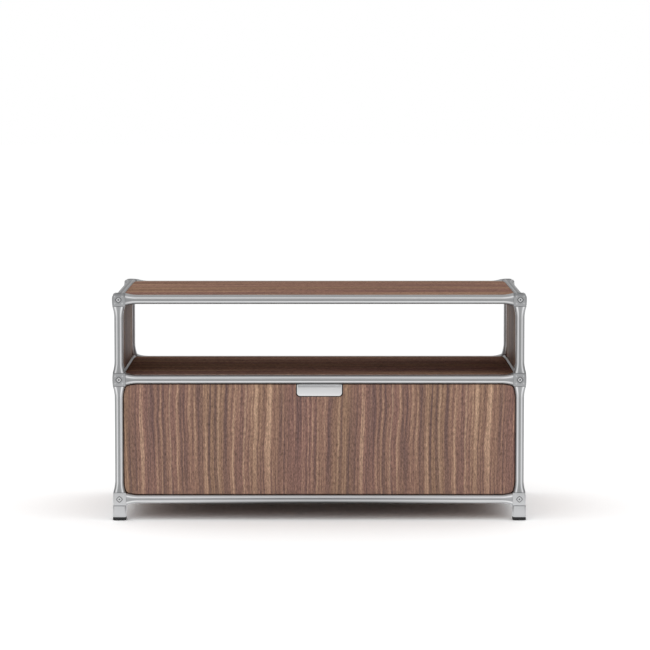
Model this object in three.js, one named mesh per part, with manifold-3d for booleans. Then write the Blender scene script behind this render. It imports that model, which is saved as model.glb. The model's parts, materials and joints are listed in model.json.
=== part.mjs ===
// Audio equipment rack: a two-tier frame of cast rods and cube connectors with walnut panels.
// Millimetres, +Z up, +X to the right, the front faces -Y, the origin on the floor under the middle.
import * as THREE from "three";
import { mergeVertices } from "three/addons/utils/BufferGeometryUtils.js";
import Module from "manifold-3d";

const wasm = await Module();
wasm.setup();

// The grid: distances between the axes of the rods
const bayWidth = 900;
const bayDepth = 450;
const upperBayHeight = 180;
const lowerBayHeight = 270;
const axisHeight = 48;

// Fits
const clearance = 0.3;
const panelGap = 0.6;
const flapGap = 1.2;
const cutOverrun = 2;
const arcSteps = 4;
const curveSteps = 1;
const pinSides = 10;

// Rods: four rounded lobes with a flute between each pair, flared to the connectors
const rodWidth = 20;
const lobeRadius = 4.4;
const fluteDepth = 2;
const flareLength = 27;
const flareWidth = 29;
const flareFluteDepth = 0.8;
const flareStepShares = [0, 0.2, 0.5, 1];
const lobeAngles = [-20, 22, 68, 110];

// Connectors: seats where a rod or foot joins, caps where nothing does
const seatReach = 15;
const capReach = 15;
const planRound = 5;
const crownRound = 11;
const seatRound = 1.2;
const bossWidth = 13;
const bossGroove = 1.3;
const bossGrooveDepth = 0.8;
const bossCornerShare = 0.2;
const boltHole = 3.6;
const boltHoleDepth = 6;
const boltHoleSides = 6;

// Feet and pads
const padHeight = 7.5;
const padRound = 1.6;
const padRimDepth = 1.5;

// Panels
const boardThickness = 16;
const sheetThickness = 8;

// Flap
const flapThickness = 16;
const flapSetback = 1;
const flapEdge = 2;
const pivotBehindFront = 7.5;
const pivotAboveEdge = 40;

// Grip let into the flap's upper edge
const gripWidth = 102;
const gripHeight = 26;
const gripCorner = 8;
const gripLipHeight = 20;
const gripLipThickness = 3;
const gripWall = 3;
const gripBackWall = 2.5;
const gripFloor = 4;

// Flap hardware, beside the axes of the posts
const plateThickness = 3;
const plateFromAxis = 48.5;
const notchWidth = 14.6;
const notchHeight = 55.5;
const notchSkin = 3;
const pinRadius = 2.5;
const headRadius = 4.4;
const headThickness = 1.2;
const hingeEyeRadius = 4;
const openPivotPlay = 0.5;
const strapThickness = 2;
const strapStart = 47.5;
const strapEnd = 175.5;
const earBase = 26;
const earRadius = 5;
const armPivotDepth = 60;
const armPivotHeight = 15;
const armReachDepth = 17;
const armReachHeight = 120;
const armRadius = 6;
const linkRadius = 5;
const bracketFront = 44;
const bracketBack = 84;
const bracketCrest = 9;
const flangeWidth = 24;
const flangeThickness = 2.5;

// Magnetic catch and its strike plate
const catchWidth = 46;
const catchHeight = 19;
const catchDepth = 24;
const catchLug = 9;
const catchLugHeight = 3;
const catchGap = 1;
const strikeWidth = 38;
const strikeHeight = 12;
const strikeThickness = 2;

// Places that follow from the sizes above
const halfWidth = bayWidth / 2;
const halfDepth = bayDepth / 2;
const rodHalf = rodWidth / 2;
const flareHalf = flareWidth / 2;
const middleHeight = axisHeight + lowerBayHeight;
const levels = { bottom: axisHeight, middle: middleHeight, top: middleHeight + upperBayHeight };
const flareRise = flareHalf - rodHalf;
const flareRadius = (flareLength ** 2 + flareRise ** 2) / (2 * flareRise);
const flareStart = seatReach + flareLength;
const flapFront = -halfDepth - rodHalf + flapSetback;
const flapBack = flapFront + flapThickness;
const flapBottom = levels.bottom + rodHalf + flapGap;
const flapTop = levels.middle - rodHalf - flapGap;
const pivot = new THREE.Vector2(flapFront + pivotBehindFront, flapBottom + pivotAboveEdge);
const plateOuter = halfWidth - plateFromAxis;
const plateInner = plateOuter - plateThickness;
const armInner = plateOuter + clearance;
const armOuter = armInner + plateThickness;
const linkInner = armOuter + clearance;
const linkOuter = linkInner + plateThickness;
const notchMiddle = plateOuter - plateThickness / 2;

// Finishes
const aluminium = new THREE.MeshStandardMaterial({ color: 0xc6c7c7, roughness: 0.36, metalness: 0.9 });
const walnut = new THREE.MeshStandardMaterial({ color: 0x886b5f, roughness: 0.55, metalness: 0 });
const blackPad = new THREE.MeshStandardMaterial({ color: 0x202020, roughness: 0.7, metalness: 0 });
const steel = new THREE.MeshStandardMaterial({ color: 0xaaacae, roughness: 0.32, metalness: 1 });
const catchPlastic = new THREE.MeshStandardMaterial({ color: 0x3a3735, roughness: 0.6, metalness: 0 });

// A closed geometry as a solid for cutting and joining
function solidOf(geometry) {
  const bare = geometry.clone();
  bare.deleteAttribute("normal");
  bare.deleteAttribute("uv");
  const merged = mergeVertices(bare);
  return new wasm.Manifold(
    new wasm.Mesh({
      numProp: 3,
      vertProperties: new Float32Array(merged.attributes.position.array),
      triVerts: new Uint32Array(merged.index.array),
    }),
  );
}

// A solid back as a faceted geometry
function geometryOf(solid) {
  const mesh = solid.getMesh();
  const geometry = new THREE.BufferGeometry();
  geometry.setAttribute("position", new THREE.BufferAttribute(mesh.vertProperties, mesh.numProp));
  geometry.setIndex(new THREE.BufferAttribute(mesh.triVerts, 1));
  const faceted = geometry.toNonIndexed();
  faceted.computeVertexNormals();
  return faceted;
}

// Profile axes for a slab that runs along X, Y or Z: a Y profile is drawn in X and Z, an X one in Y and Z
const slabBases = {
  x: [new THREE.Vector3(0, 1, 0), new THREE.Vector3(0, 0, 1), new THREE.Vector3(1, 0, 0)],
  y: [new THREE.Vector3(1, 0, 0), new THREE.Vector3(0, 0, 1), new THREE.Vector3(0, -1, 0)],
  z: [new THREE.Vector3(1, 0, 0), new THREE.Vector3(0, 1, 0), new THREE.Vector3(0, 0, 1)],
};

// A shape pushed along an axis from one coordinate to another
function slab(shape, axis, from, to, bevel = 0) {
  const low = Math.min(from, to);
  const high = Math.max(from, to);
  const geometry = new THREE.ExtrudeGeometry(shape, {
    depth: high - low - 2 * bevel,
    curveSegments: curveSteps,
    bevelEnabled: bevel > 0,
    bevelThickness: bevel,
    bevelSize: bevel,
    bevelOffset: -bevel,
    bevelSegments: 1,
  });
  geometry.applyMatrix4(new THREE.Matrix4().makeBasis(...slabBases[axis]));
  const shift = axis === "y" ? -high : low;
  const along = axis === "y" ? -(shift + bevel) : shift + bevel;
  return geometry.translate(axis === "x" ? along : 0, axis === "y" ? along : 0, axis === "z" ? along : 0);
}

// A rectangle whose corners have radii given counter-clockwise from the low corner
function roundedRectangle(left, bottom, right, top, radii) {
  const [lowLeft, lowRight, highRight, highLeft] = radii;
  const shape = new THREE.Shape();
  shape.moveTo(left + lowLeft, bottom);
  shape.lineTo(right - lowRight, bottom);
  shape.absarc(right - lowRight, bottom + lowRight, lowRight, -Math.PI / 2, 0, false);
  shape.lineTo(right, top - highRight);
  shape.absarc(right - highRight, top - highRight, highRight, 0, Math.PI / 2, false);
  shape.lineTo(left + highLeft, top);
  shape.absarc(left + highLeft, top - highLeft, highLeft, Math.PI / 2, Math.PI, false);
  shape.lineTo(left, bottom + lowLeft);
  shape.absarc(left + lowLeft, bottom + lowLeft, lowLeft, Math.PI, 1.5 * Math.PI, false);
  return shape;
}

// The convex outline round a set of points and round eyes
function hullShape(points) {
  const sorted = [...points].sort((a, b) => a.x - b.x || a.y - b.y);
  const half = (list) => {
    const chain = [];
    for (const point of list) {
      while (chain.length > 1) {
        const [before, last] = chain.slice(-2);
        const turn = (last.x - before.x) * (point.y - before.y) - (last.y - before.y) * (point.x - before.x);
        if (turn > 0) break;
        chain.pop();
      }
      chain.push(point);
    }
    return chain.slice(0, -1);
  };
  return new THREE.Shape([...half(sorted), ...half(sorted.reverse())]);
}

// Points on a circle
function circlePoints(centre, radius, sides = pinSides) {
  const points = [];
  for (let i = 0; i < sides; i += 1) {
    const angle = (2 * Math.PI * (i + 0.5)) / sides;
    points.push(new THREE.Vector2(centre.x + radius * Math.cos(angle), centre.y + radius * Math.sin(angle)));
  }
  return points;
}

// A round pin or hole along X, its centre given in Y and Z
function roundBar(centre, radius, from, to) {
  return solidOf(slab(new THREE.Shape(circlePoints(centre, radius)), "x", from, to));
}

// A flat plate in the YZ plane, on either side of the rack
function sidePlate(shape, side, inner, outer) {
  return solidOf(slab(shape, "x", side * inner, side * outer));
}

const rack = new THREE.Group();

// Names a geometry, gives it its finish and its place, and adds it
function add(name, geometry, material, parent = rack) {
  const mesh = new THREE.Mesh(geometry, material);
  mesh.name = name;
  parent.add(mesh);
  return mesh;
}

// Half the rod's width at a distance from a connector's centre
function halfWidthAt(distance) {
  const left = Math.max(flareStart - distance, 0);
  return rodHalf + flareRadius - Math.sqrt(flareRadius ** 2 - left ** 2);
}

// One cross-section of a rod: lobes at the corners and a flute in each side
function rodSection(half, flute) {
  const points = [];
  const lobeCentre = half - lobeRadius;
  for (let quarter = 0; quarter < 4; quarter += 1) {
    const turn = (quarter * Math.PI) / 2;
    const corner = lobeAngles.map((angle) => {
      const radians = THREE.MathUtils.degToRad(angle);
      return new THREE.Vector2(
        lobeCentre + lobeRadius * Math.cos(radians),
        lobeCentre + lobeRadius * Math.sin(radians),
      );
    });
    corner.unshift(new THREE.Vector2(half - flute, 0));
    corner.forEach((point) => points.push(point.rotateAround(new THREE.Vector2(), turn)));
  }
  return points;
}

// A rod along Z, centred on its middle, between two connectors a bay apart
function rodGeometry(bay) {
  const sections = [];
  const flare = (share) => {
    const distance = seatReach + clearance + share * (flareLength - clearance);
    const flute = THREE.MathUtils.lerp(flareFluteDepth, fluteDepth, share);
    return { distance, points: rodSection(halfWidthAt(distance), flute) };
  };
  flareStepShares.forEach((share) => {
    const { distance, points } = flare(share);
    sections.push({ z: distance - bay / 2, points });
  });
  [...flareStepShares].reverse().forEach((share) => {
    const { distance, points } = flare(share);
    sections.push({ z: bay / 2 - distance, points });
  });
  const vertices = [];
  const faces = [];
  const count = sections[0].points.length;
  sections.forEach(({ z, points }) => points.forEach((point) => vertices.push(point.x, point.y, z)));
  for (let ring = 0; ring < sections.length - 1; ring += 1) {
    for (let i = 0; i < count; i += 1) {
      const next = (i + 1) % count;
      const low = ring * count;
      const high = low + count;
      faces.push(low + i, low + next, high + next);
      faces.push(low + i, high + next, high + i);
    }
  }
  const firstCentre = vertices.length / 3;
  vertices.push(0, 0, sections[0].z, 0, 0, sections.at(-1).z);
  const lastRing = (sections.length - 1) * count;
  for (let i = 0; i < count; i += 1) {
    const next = (i + 1) % count;
    faces.push(firstCentre, next, i);
    faces.push(firstCentre + 1, lastRing + i, lastRing + next);
  }
  const geometry = new THREE.BufferGeometry();
  geometry.setAttribute("position", new THREE.Float32BufferAttribute(vertices, 3));
  geometry.setIndex(faces);
  const faceted = geometry.toNonIndexed();
  faceted.computeVertexNormals();
  return faceted;
}

// The round hole and the diamond groove that mark a free face of a connector
function faceMark(axis, sign) {
  const face = sign * capReach;
  const diamond = (half) => {
    const cut = half * bossCornerShare;
    const points = [];
    for (let quarter = 0; quarter < 4; quarter += 1) {
      const turn = (quarter * Math.PI) / 2;
      points.push(new THREE.Vector2(half, -cut).rotateAround(new THREE.Vector2(), turn));
      points.push(new THREE.Vector2(half, cut).rotateAround(new THREE.Vector2(), turn));
    }
    return points;
  };
  const ring = new THREE.Shape(diamond(bossWidth / 2 + bossGroove));
  ring.holes.push(new THREE.Path(diamond(bossWidth / 2)));
  const outside = face + sign * cutOverrun;
  const groove = solidOf(slab(ring, axis, face - sign * bossGrooveDepth, outside));
  const holeOutline = new THREE.Shape(circlePoints(new THREE.Vector2(), boltHole / 2, boltHoleSides));
  const hole = solidOf(slab(holeOutline, axis, face - sign * boltHoleDepth, outside));
  return groove.add(hole);
}

// A connector: each side is a seat where something joins and a rounded cap where nothing does
function connectorGeometry(seats) {
  const reach = (key) => (seats[key] ? seatReach : capReach);
  const corner = (a, b, free) => (seats[a] || seats[b] ? seatRound : free);
  const block = (axis, low, high, shape) =>
    solidOf(slab(shape, axis, -reach(low), reach(high)));
  const plan = block(
    "z",
    "down",
    "up",
    roundedRectangle(-reach("left"), -reach("front"), reach("right"), reach("back"), [
      corner("left", "front", planRound),
      corner("right", "front", planRound),
      corner("right", "back", planRound),
      corner("left", "back", planRound),
    ]),
  );
  const frontView = block(
    "y",
    "front",
    "back",
    roundedRectangle(-reach("left"), -reach("down"), reach("right"), reach("up"), [
      corner("left", "down", crownRound),
      corner("right", "down", crownRound),
      corner("right", "up", crownRound),
      corner("left", "up", crownRound),
    ]),
  );
  const sideView = block(
    "x",
    "left",
    "right",
    roundedRectangle(-reach("front"), -reach("down"), reach("back"), reach("up"), [
      corner("front", "down", crownRound),
      corner("back", "down", crownRound),
      corner("back", "up", crownRound),
      corner("front", "up", crownRound),
    ]),
  );
  const marks = { left: ["x", -1], right: ["x", 1], front: ["y", -1], back: ["y", 1], up: ["z", 1] };
  let solid = plan.intersect(frontView).intersect(sideView);
  Object.entries(marks).forEach(([key, [axis, sign]]) => {
    if (!seats[key]) solid = solid.subtract(faceMark(axis, sign));
  });
  return geometryOf(solid);
}

// Connectors at every crossing of the grid
const sides = { left: -1, right: 1 };
const ends = { front: -1, back: 1 };
for (const [level, z] of Object.entries(levels)) {
  for (const [end, endSign] of Object.entries(ends)) {
    for (const [side, sideSign] of Object.entries(sides)) {
      const geometry = connectorGeometry({
        left: sideSign > 0,
        right: sideSign < 0,
        front: endSign > 0,
        back: endSign < 0,
        up: level !== "top",
        down: true,
      });
      const connector = add(`connector_${level}_${end}_${side}`, geometry, aluminium);
      connector.position.set(sideSign * halfWidth, endSign * halfDepth, z);
    }
  }
}

// Horizontal rods at each level
for (const [level, z] of Object.entries(levels)) {
  for (const [end, sign] of Object.entries(ends)) {
    const rod = add(`rod_${level}_${end}`, rodGeometry(bayWidth), aluminium);
    rod.rotation.y = Math.PI / 2;
    rod.position.set(0, sign * halfDepth, z);
  }
  for (const [side, sign] of Object.entries(sides)) {
    const rod = add(`rod_${level}_${side}`, rodGeometry(bayDepth), aluminium);
    rod.rotation.x = Math.PI / 2;
    rod.position.set(sign * halfWidth, 0, z);
  }
}

// Posts of the two tiers
const tiers = { lower: [levels.bottom, levels.middle], upper: [levels.middle, levels.top] };
for (const [tier, [low, high]] of Object.entries(tiers)) {
  for (const [end, endSign] of Object.entries(ends)) {
    for (const [side, sideSign] of Object.entries(sides)) {
      const post = add(`post_${tier}_${end}_${side}`, rodGeometry(high - low), aluminium);
      post.position.set(sideSign * halfWidth, endSign * halfDepth, (low + high) / 2);
    }
  }
}

// Feet: a square block under each bottom connector, and a pad with rounded lower edges
const footTop = levels.bottom - seatReach - clearance;
const footOutline = roundedRectangle(
  -capReach,
  -capReach,
  capReach,
  capReach,
  [planRound, planRound, planRound, planRound],
);
function padGeometry() {
  const pad = solidOf(slab(footOutline, "z", 0, padHeight - clearance));
  const edges = roundedRectangle(-capReach, 0, capReach, padHeight + padRound, [padRound, padRound, 0, 0]);
  const acrossY = solidOf(slab(edges, "y", -capReach - padRimDepth, capReach + padRimDepth));
  const acrossX = solidOf(slab(edges, "x", -capReach - padRimDepth, capReach + padRimDepth));
  return geometryOf(pad.intersect(acrossY).intersect(acrossX));
}
for (const [end, endSign] of Object.entries(ends)) {
  for (const [side, sideSign] of Object.entries(sides)) {
    const foot = add(`foot_${end}_${side}`, slab(footOutline, "z", padHeight, footTop), aluminium);
    const pad = add(`foot_pad_${end}_${side}`, padGeometry(), blackPad);
    foot.position.set(sideSign * halfWidth, endSign * halfDepth, 0);
    pad.position.set(sideSign * halfWidth, endSign * halfDepth, 0);
  }
}

// The outline of a panel or flap that fills a bay and follows the flares, drawn round the bay's centre
function bayOutline(across, upright, gap = panelGap) {
  const edge = rodHalf + gap;
  const radius = flareRadius - gap;
  const tip = seatReach + gap;
  const leftAtTip = flareStart - tip;
  const depthAtTip = rodHalf + flareRadius - Math.sqrt(radius ** 2 - leftAtTip ** 2);
  const points = [];
  const arc = [];
  for (let i = 0; i <= arcSteps; i += 1) {
    const left = (leftAtTip * i) / arcSteps;
    arc.push([flareStart - left, rodHalf + flareRadius - Math.sqrt(radius ** 2 - left ** 2)]);
  }
  arc[0][1] = edge;
  arc[arcSteps] = [Math.max(tip, depthAtTip), Math.max(tip, depthAtTip)];
  const signs = [
    [-1, -1],
    [1, -1],
    [1, 1],
    [-1, 1],
  ];
  signs.forEach(([signX, signY]) => {
    const toCorner = arc.map(([along, depth]) => [along, depth]);
    const fromCorner = arc.slice(0, -1).reverse().map(([along, depth]) => [depth, along]);
    const corner = signX * signY > 0 ? [...toCorner, ...fromCorner].reverse() : [...toCorner, ...fromCorner];
    corner.forEach(([x, y]) =>
      points.push(new THREE.Vector2(signX * (across / 2 - x), signY * (upright / 2 - y))),
    );
  });
  return new THREE.Shape(points);
}

// Horizontal panels, their upper faces level with the tops of the rods
const panelNames = { bottom: "bottom_panel", middle: "middle_shelf", top: "top_panel" };
for (const [level, z] of Object.entries(levels)) {
  const top = rodHalf;
  const panel = add(
    panelNames[level],
    slab(bayOutline(bayWidth, bayDepth), "z", top - boardThickness, top),
    walnut,
  );
  panel.position.z = z;
}

// Upright panels in the middle of the rods' thickness: both sides of both tiers, and the lower back
for (const [tier, [low, high]] of Object.entries(tiers)) {
  for (const [side, sign] of Object.entries(sides)) {
    const panel = add(
      `side_panel_${tier}_${side}`,
      slab(bayOutline(bayDepth, high - low), "x", -sheetThickness / 2, sheetThickness / 2),
      walnut,
    );
    panel.position.set(sign * halfWidth, 0, (low + high) / 2);
  }
}
const backPanel = add(
  "back_panel",
  slab(bayOutline(bayWidth, lowerBayHeight), "y", -sheetThickness / 2, sheetThickness / 2),
  walnut,
);
backPanel.position.set(0, halfDepth, (levels.bottom + levels.middle) / 2);

// The flap: a board that follows the flares, with a bay for the grip and two notches behind for the hinges
function flapGeometry() {
  const outline = bayOutline(bayWidth, lowerBayHeight, flapGap);
  const board = slab(outline, "y", flapFront, flapBack, flapEdge);
  let flap = solidOf(board.translate(0, 0, (flapBottom + flapTop) / 2));
  const gripRadii = [gripCorner, gripCorner, 0, 0];
  const gripBay = roundedRectangle(
    -gripWidth / 2,
    flapTop - gripHeight,
    gripWidth / 2,
    flapTop + cutOverrun,
    gripRadii,
  );
  flap = flap.subtract(solidOf(slab(gripBay, "y", flapFront - cutOverrun, flapBack + cutOverrun)));
  for (const sign of Object.values(sides)) {
    const middle = sign * notchMiddle;
    const notch = new THREE.Shape([
      new THREE.Vector2(middle - notchWidth / 2, flapBottom - cutOverrun),
      new THREE.Vector2(middle + notchWidth / 2, flapBottom - cutOverrun),
      new THREE.Vector2(middle + notchWidth / 2, flapBottom + notchHeight),
      new THREE.Vector2(middle - notchWidth / 2, flapBottom + notchHeight),
    ]);
    flap = flap.subtract(solidOf(slab(notch, "y", flapFront + notchSkin, flapBack + cutOverrun)));
  }
  return geometryOf(flap);
}
add("flap_panel", flapGeometry(), walnut);

// The grip: a shell with a front lip, a finger recess behind it and a slot above it
function gripGeometry() {
  const half = gripWidth / 2 - clearance;
  const low = flapTop - gripHeight + clearance;
  const corner = gripCorner - clearance;
  const outer = roundedRectangle(-half, low, half, flapTop, [corner, corner, 0, 0]);
  const inner = corner - gripWall;
  const recess = roundedRectangle(
    -half + gripWall,
    low + gripFloor,
    half - gripWall,
    flapTop + cutOverrun,
    [inner, inner, 0, 0],
  );
  const slotLow = low + gripLipHeight;
  const slot = roundedRectangle(
    -half + gripWall,
    slotLow,
    half - gripWall,
    flapTop + cutOverrun,
    [0, 0, 0, 0],
  );
  const shell = solidOf(slab(outer, "y", flapFront, flapBack));
  const hollow = solidOf(slab(recess, "y", flapFront + gripLipThickness, flapBack - gripBackWall));
  const mouth = solidOf(slab(slot, "y", flapFront - cutOverrun, flapFront + gripLipThickness + clearance));
  return geometryOf(shell.subtract(hollow).subtract(mouth));
}
add("flap_grip", gripGeometry(), aluminium);

// The strike plate behind the grip, and the magnetic catch under the shelf
const shelfUnderside = levels.middle + rodHalf - boardThickness;
const strikeTop = flapTop - flapEdge;
const strikeOutline = roundedRectangle(
  -strikeWidth / 2,
  strikeTop - strikeHeight,
  strikeWidth / 2,
  strikeTop,
  [flapEdge, flapEdge, flapEdge, flapEdge],
);
const strikeBack = flapBack + clearance + strikeThickness;
add("strike_plate", slab(strikeOutline, "y", flapBack + clearance, strikeBack), steel);

function catchGeometry() {
  const front = strikeBack + catchGap;
  const top = shelfUnderside - clearance;
  const body = roundedRectangle(
    -catchWidth / 2 + catchLug,
    top - catchHeight,
    catchWidth / 2 - catchLug,
    top,
    [flapEdge, flapEdge, 0, 0],
  );
  const lugs = roundedRectangle(
    -catchWidth / 2,
    front + catchLug,
    catchWidth / 2,
    front + catchDepth,
    [flapEdge, flapEdge, flapEdge, flapEdge],
  );
  return geometryOf(
    solidOf(slab(body, "y", front, front + catchDepth)).add(
      solidOf(slab(lugs, "z", top - catchLugHeight, top)),
    ),
  );
}
add("magnetic_catch", catchGeometry(), catchPlastic);

// Centres of the stay's pivots, in Y and Z
const armReach = new THREE.Vector2(armReachDepth, armReachHeight);
const flapStud = pivot.clone().add(armReach);
const armPivot = new THREE.Vector2(pivot.x + armPivotDepth, pivot.y + armPivotHeight);
const armEnd = armPivot.clone().add(armReach);

// A hinge bracket: an upright plate on a flange, with the flap's pin in front and the arm's pin above
function bracketGeometry(side) {
  const base = levels.bottom + rodHalf + clearance;
  const front = pivot.x + bracketFront;
  const back = pivot.x + bracketBack;
  const body = hullShape([
    new THREE.Vector2(front, base),
    new THREE.Vector2(back, base),
    new THREE.Vector2(front, pivot.y + hingeEyeRadius),
    ...circlePoints(armPivot, bracketCrest),
  ]);
  const reach = hullShape([
    ...circlePoints(pivot, hingeEyeRadius),
    new THREE.Vector2(front + cutOverrun, pivot.y - hingeEyeRadius),
    new THREE.Vector2(front + cutOverrun, pivot.y + hingeEyeRadius),
  ]);
  const flange = roundedRectangle(
    Math.min(side * plateInner, side * (plateOuter + flangeWidth)),
    front,
    Math.max(side * plateInner, side * (plateOuter + flangeWidth)),
    back,
    [0, 0, 0, 0],
  );
  const hingePin = roundBar(
    pivot,
    pinRadius,
    side * (plateInner - clearance - plateThickness),
    side * (plateOuter + clearance + plateThickness),
  );
  const armPin = roundBar(armPivot, pinRadius, side * plateInner, side * (armOuter + clearance + headThickness));
  const armHead = roundBar(
    armPivot,
    headRadius,
    side * (armOuter + clearance),
    side * (armOuter + clearance + headThickness),
  );
  const solid = sidePlate(body, side, plateInner, plateOuter)
    .add(sidePlate(reach, side, plateInner, plateOuter))
    .add(solidOf(slab(flange, "z", base, base + flangeThickness)))
    .add(hingePin)
    .add(armPin)
    .add(armHead);
  return geometryOf(solid);
}

// A strap on the flap's inner face: two ears take the hinge pin, a third carries the stay's stud
function strapGeometry(side) {
  const inner = flapBack + clearance;
  const outer = inner + strapThickness;
  const halfStrap = notchWidth / 2 - clearance;
  const low = flapBottom + strapStart;
  const high = flapBottom + strapEnd;
  const strap = roundedRectangle(
    side * notchMiddle - halfStrap,
    low,
    side * notchMiddle + halfStrap,
    high,
    [0, 0, flapEdge, flapEdge],
  );
  const notchTop = flapBottom + notchHeight - clearance;
  const hingeEar = hullShape([
    ...circlePoints(pivot, hingeEyeRadius),
    new THREE.Vector2(flapFront + notchSkin + clearance, notchTop),
    new THREE.Vector2(outer, notchTop),
    new THREE.Vector2(outer, low),
  ]);
  const studEar = hullShape([
    ...circlePoints(flapStud, earRadius),
    new THREE.Vector2(inner, flapStud.y - earBase / 2),
    new THREE.Vector2(inner, flapStud.y + earBase / 2),
  ]);
  const bore = roundBar(
    pivot,
    pinRadius + clearance,
    side * (plateInner - clearance - plateThickness - cutOverrun),
    side * (armOuter + cutOverrun),
  );
  const stud = roundBar(flapStud, pinRadius, side * armInner, side * (linkOuter + clearance + headThickness));
  const studHead = roundBar(
    flapStud,
    headRadius,
    side * (linkOuter + clearance),
    side * (linkOuter + clearance + headThickness),
  );
  return geometryOf(
    solidOf(slab(strap, "y", inner, outer))
      .add(sidePlate(hingeEar, side, plateInner - clearance - plateThickness, plateInner - clearance))
      .add(sidePlate(hingeEar, side, armInner, armOuter))
      .subtract(bore)
      .add(sidePlate(studEar, side, armInner, armOuter))
      .add(stud)
      .add(studHead),
  );
}

// A stay arm between the bracket and the link, with the pin that the link turns on
function armGeometry(side) {
  const outline = hullShape([...circlePoints(armPivot, armRadius), ...circlePoints(armEnd, armRadius)]);
  const bore = roundBar(
    armPivot,
    pinRadius + clearance,
    side * (armInner - cutOverrun),
    side * (armOuter + cutOverrun),
  );
  const pin = roundBar(armEnd, pinRadius, side * armInner, side * (linkOuter + clearance + headThickness));
  const head = roundBar(
    armEnd,
    headRadius,
    side * (linkOuter + clearance),
    side * (linkOuter + clearance + headThickness),
  );
  return geometryOf(sidePlate(outline, side, armInner, armOuter).subtract(bore).add(pin).add(head));
}

// A stay link between the arm's end and the stud on the flap
function linkGeometry(side) {
  const outline = hullShape([...circlePoints(flapStud, linkRadius), ...circlePoints(armEnd, linkRadius)]);
  const hole = (centre, play) =>
    roundBar(centre, pinRadius + play, side * (linkInner - cutOverrun), side * (linkOuter + cutOverrun));
  return geometryOf(
    sidePlate(outline, side, linkInner, linkOuter)
      .subtract(hole(armEnd, clearance))
      .subtract(hole(flapStud, openPivotPlay)),
  );
}

for (const [side, sign] of Object.entries(sides)) {
  add(`hinge_bracket_${side}`, bracketGeometry(sign), steel);
  add(`flap_strap_${side}`, strapGeometry(sign), steel);
  add(`stay_arm_${side}`, armGeometry(sign), steel);
  add(`stay_link_${side}`, linkGeometry(sign), steel);
}

export default rack;
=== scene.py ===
# %% [markdown]
# # An audio rack of cast rods and walnut panels
# The rack is a kit: rods with four rounded ridges meet in cube connectors on a 90 mm grid, panels fill the
# bays between them, and a flap closes the lower tier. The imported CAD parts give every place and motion.
# This lesson dresses them. Most pieces get a finer mesh in the same place, and the rest get a better finish.

import json
import math

import bmesh
import bpy
import numpy as np
from mathutils import Matrix, Vector
from mathutils.bvhtree import BVHTree


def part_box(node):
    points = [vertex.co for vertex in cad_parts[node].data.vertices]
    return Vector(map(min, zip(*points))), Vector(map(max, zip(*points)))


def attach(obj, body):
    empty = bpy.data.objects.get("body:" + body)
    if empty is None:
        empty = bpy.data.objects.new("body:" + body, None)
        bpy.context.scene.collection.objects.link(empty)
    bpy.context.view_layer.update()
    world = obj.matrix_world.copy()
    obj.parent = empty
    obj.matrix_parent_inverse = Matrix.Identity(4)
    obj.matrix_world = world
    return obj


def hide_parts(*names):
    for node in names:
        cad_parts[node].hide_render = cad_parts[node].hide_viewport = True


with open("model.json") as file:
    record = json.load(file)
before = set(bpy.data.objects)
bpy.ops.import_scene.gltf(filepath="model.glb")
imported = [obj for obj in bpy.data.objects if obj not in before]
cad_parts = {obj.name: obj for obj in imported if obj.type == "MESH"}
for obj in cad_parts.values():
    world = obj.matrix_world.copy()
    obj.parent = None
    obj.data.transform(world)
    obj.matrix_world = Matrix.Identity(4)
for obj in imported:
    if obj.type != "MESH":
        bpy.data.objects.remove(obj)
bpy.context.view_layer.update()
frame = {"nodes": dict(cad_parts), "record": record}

# %% [markdown]
# ## The camera
# The rack is seen from far away through a long lens, so its sides hardly show and its top is a thin strip.
# A camera can be placed by eye, or worked out from lines that should stay parallel. Here its height and
# distance come from how much narrower the rear of the rack looks than its front.

# %% Place the camera
lens_mm = 174.4
camera_place = Vector((0, -7.265, 1.039))
camera_target = Vector((0.0125, -0.225, 0.4404))
camera_data = bpy.data.cameras.new("camera")
camera_data.lens = lens_mm
camera = bpy.data.objects.new("camera", camera_data)
camera.location = camera_place
camera.rotation_euler = (camera_target - camera_place).to_track_quat("-Z", "Y").to_euler()
bpy.context.scene.collection.objects.link(camera)
bpy.context.scene.camera = camera
print("camera tilt", round(math.degrees(camera.rotation_euler.x) - 90, 2))

# %% [markdown]
# ## Sizes
# The finer pieces have to follow the CAD parts, so the script repeats the sizes that give them their shape,
# in metres. A size typed twice can drift apart, so the last line compares two of them with the frame.

bay_width, bay_depth = 0.9, 0.45
half_width, half_depth = bay_width / 2, bay_depth / 2
levels = {"bottom": 0.048, "middle": 0.318, "top": 0.498}
sides = {"left": -1, "right": 1}
ends = {"front": -1, "back": 1}
lower_bay, upper_bay = 0.27, 0.18
# Each tier: the height of its bay and of the bay's middle. Each corner: its post's place from above.
tiers = {
    "lower": (lower_bay, levels["middle"] - lower_bay / 2),
    "upper": (upper_bay, levels["top"] - upper_bay / 2),
}
kit_corners = {
    f"{end}_{side}": (x_sign * half_width, y_sign * half_depth)
    for end, y_sign in ends.items()
    for side, x_sign in sides.items()
}
rod_half, flare_half, flare_length = 0.01, 0.0145, 0.027
seat_reach, cap_reach = 0.015, 0.015
clearance, panel_gap, flap_gap, grip_gap = 0.0003, 0.0006, 0.0012, 0.0019


def arc_radius(length, rise):
    """The radius of an arc that starts level and has risen this far after this length."""
    return (length**2 + rise**2) / (2 * rise)


flare_start = seat_reach + flare_length
flare_radius = arc_radius(flare_length, flare_half - rod_half)
low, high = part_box("rod_top_front")
print("rod half length", round(high.x, 4), "expected", half_width - seat_reach - clearance)

# %% [markdown]
# ## Shader maths
# A procedural material is a sum of small formulas, and a tree of Math nodes is hard to read. Wrapping a
# socket in a class lets Python's own operators add the nodes, so a formula stays one line. The same two
# classes also write the Geometry Nodes trees, because both kinds of tree have the same Math node.


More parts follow.
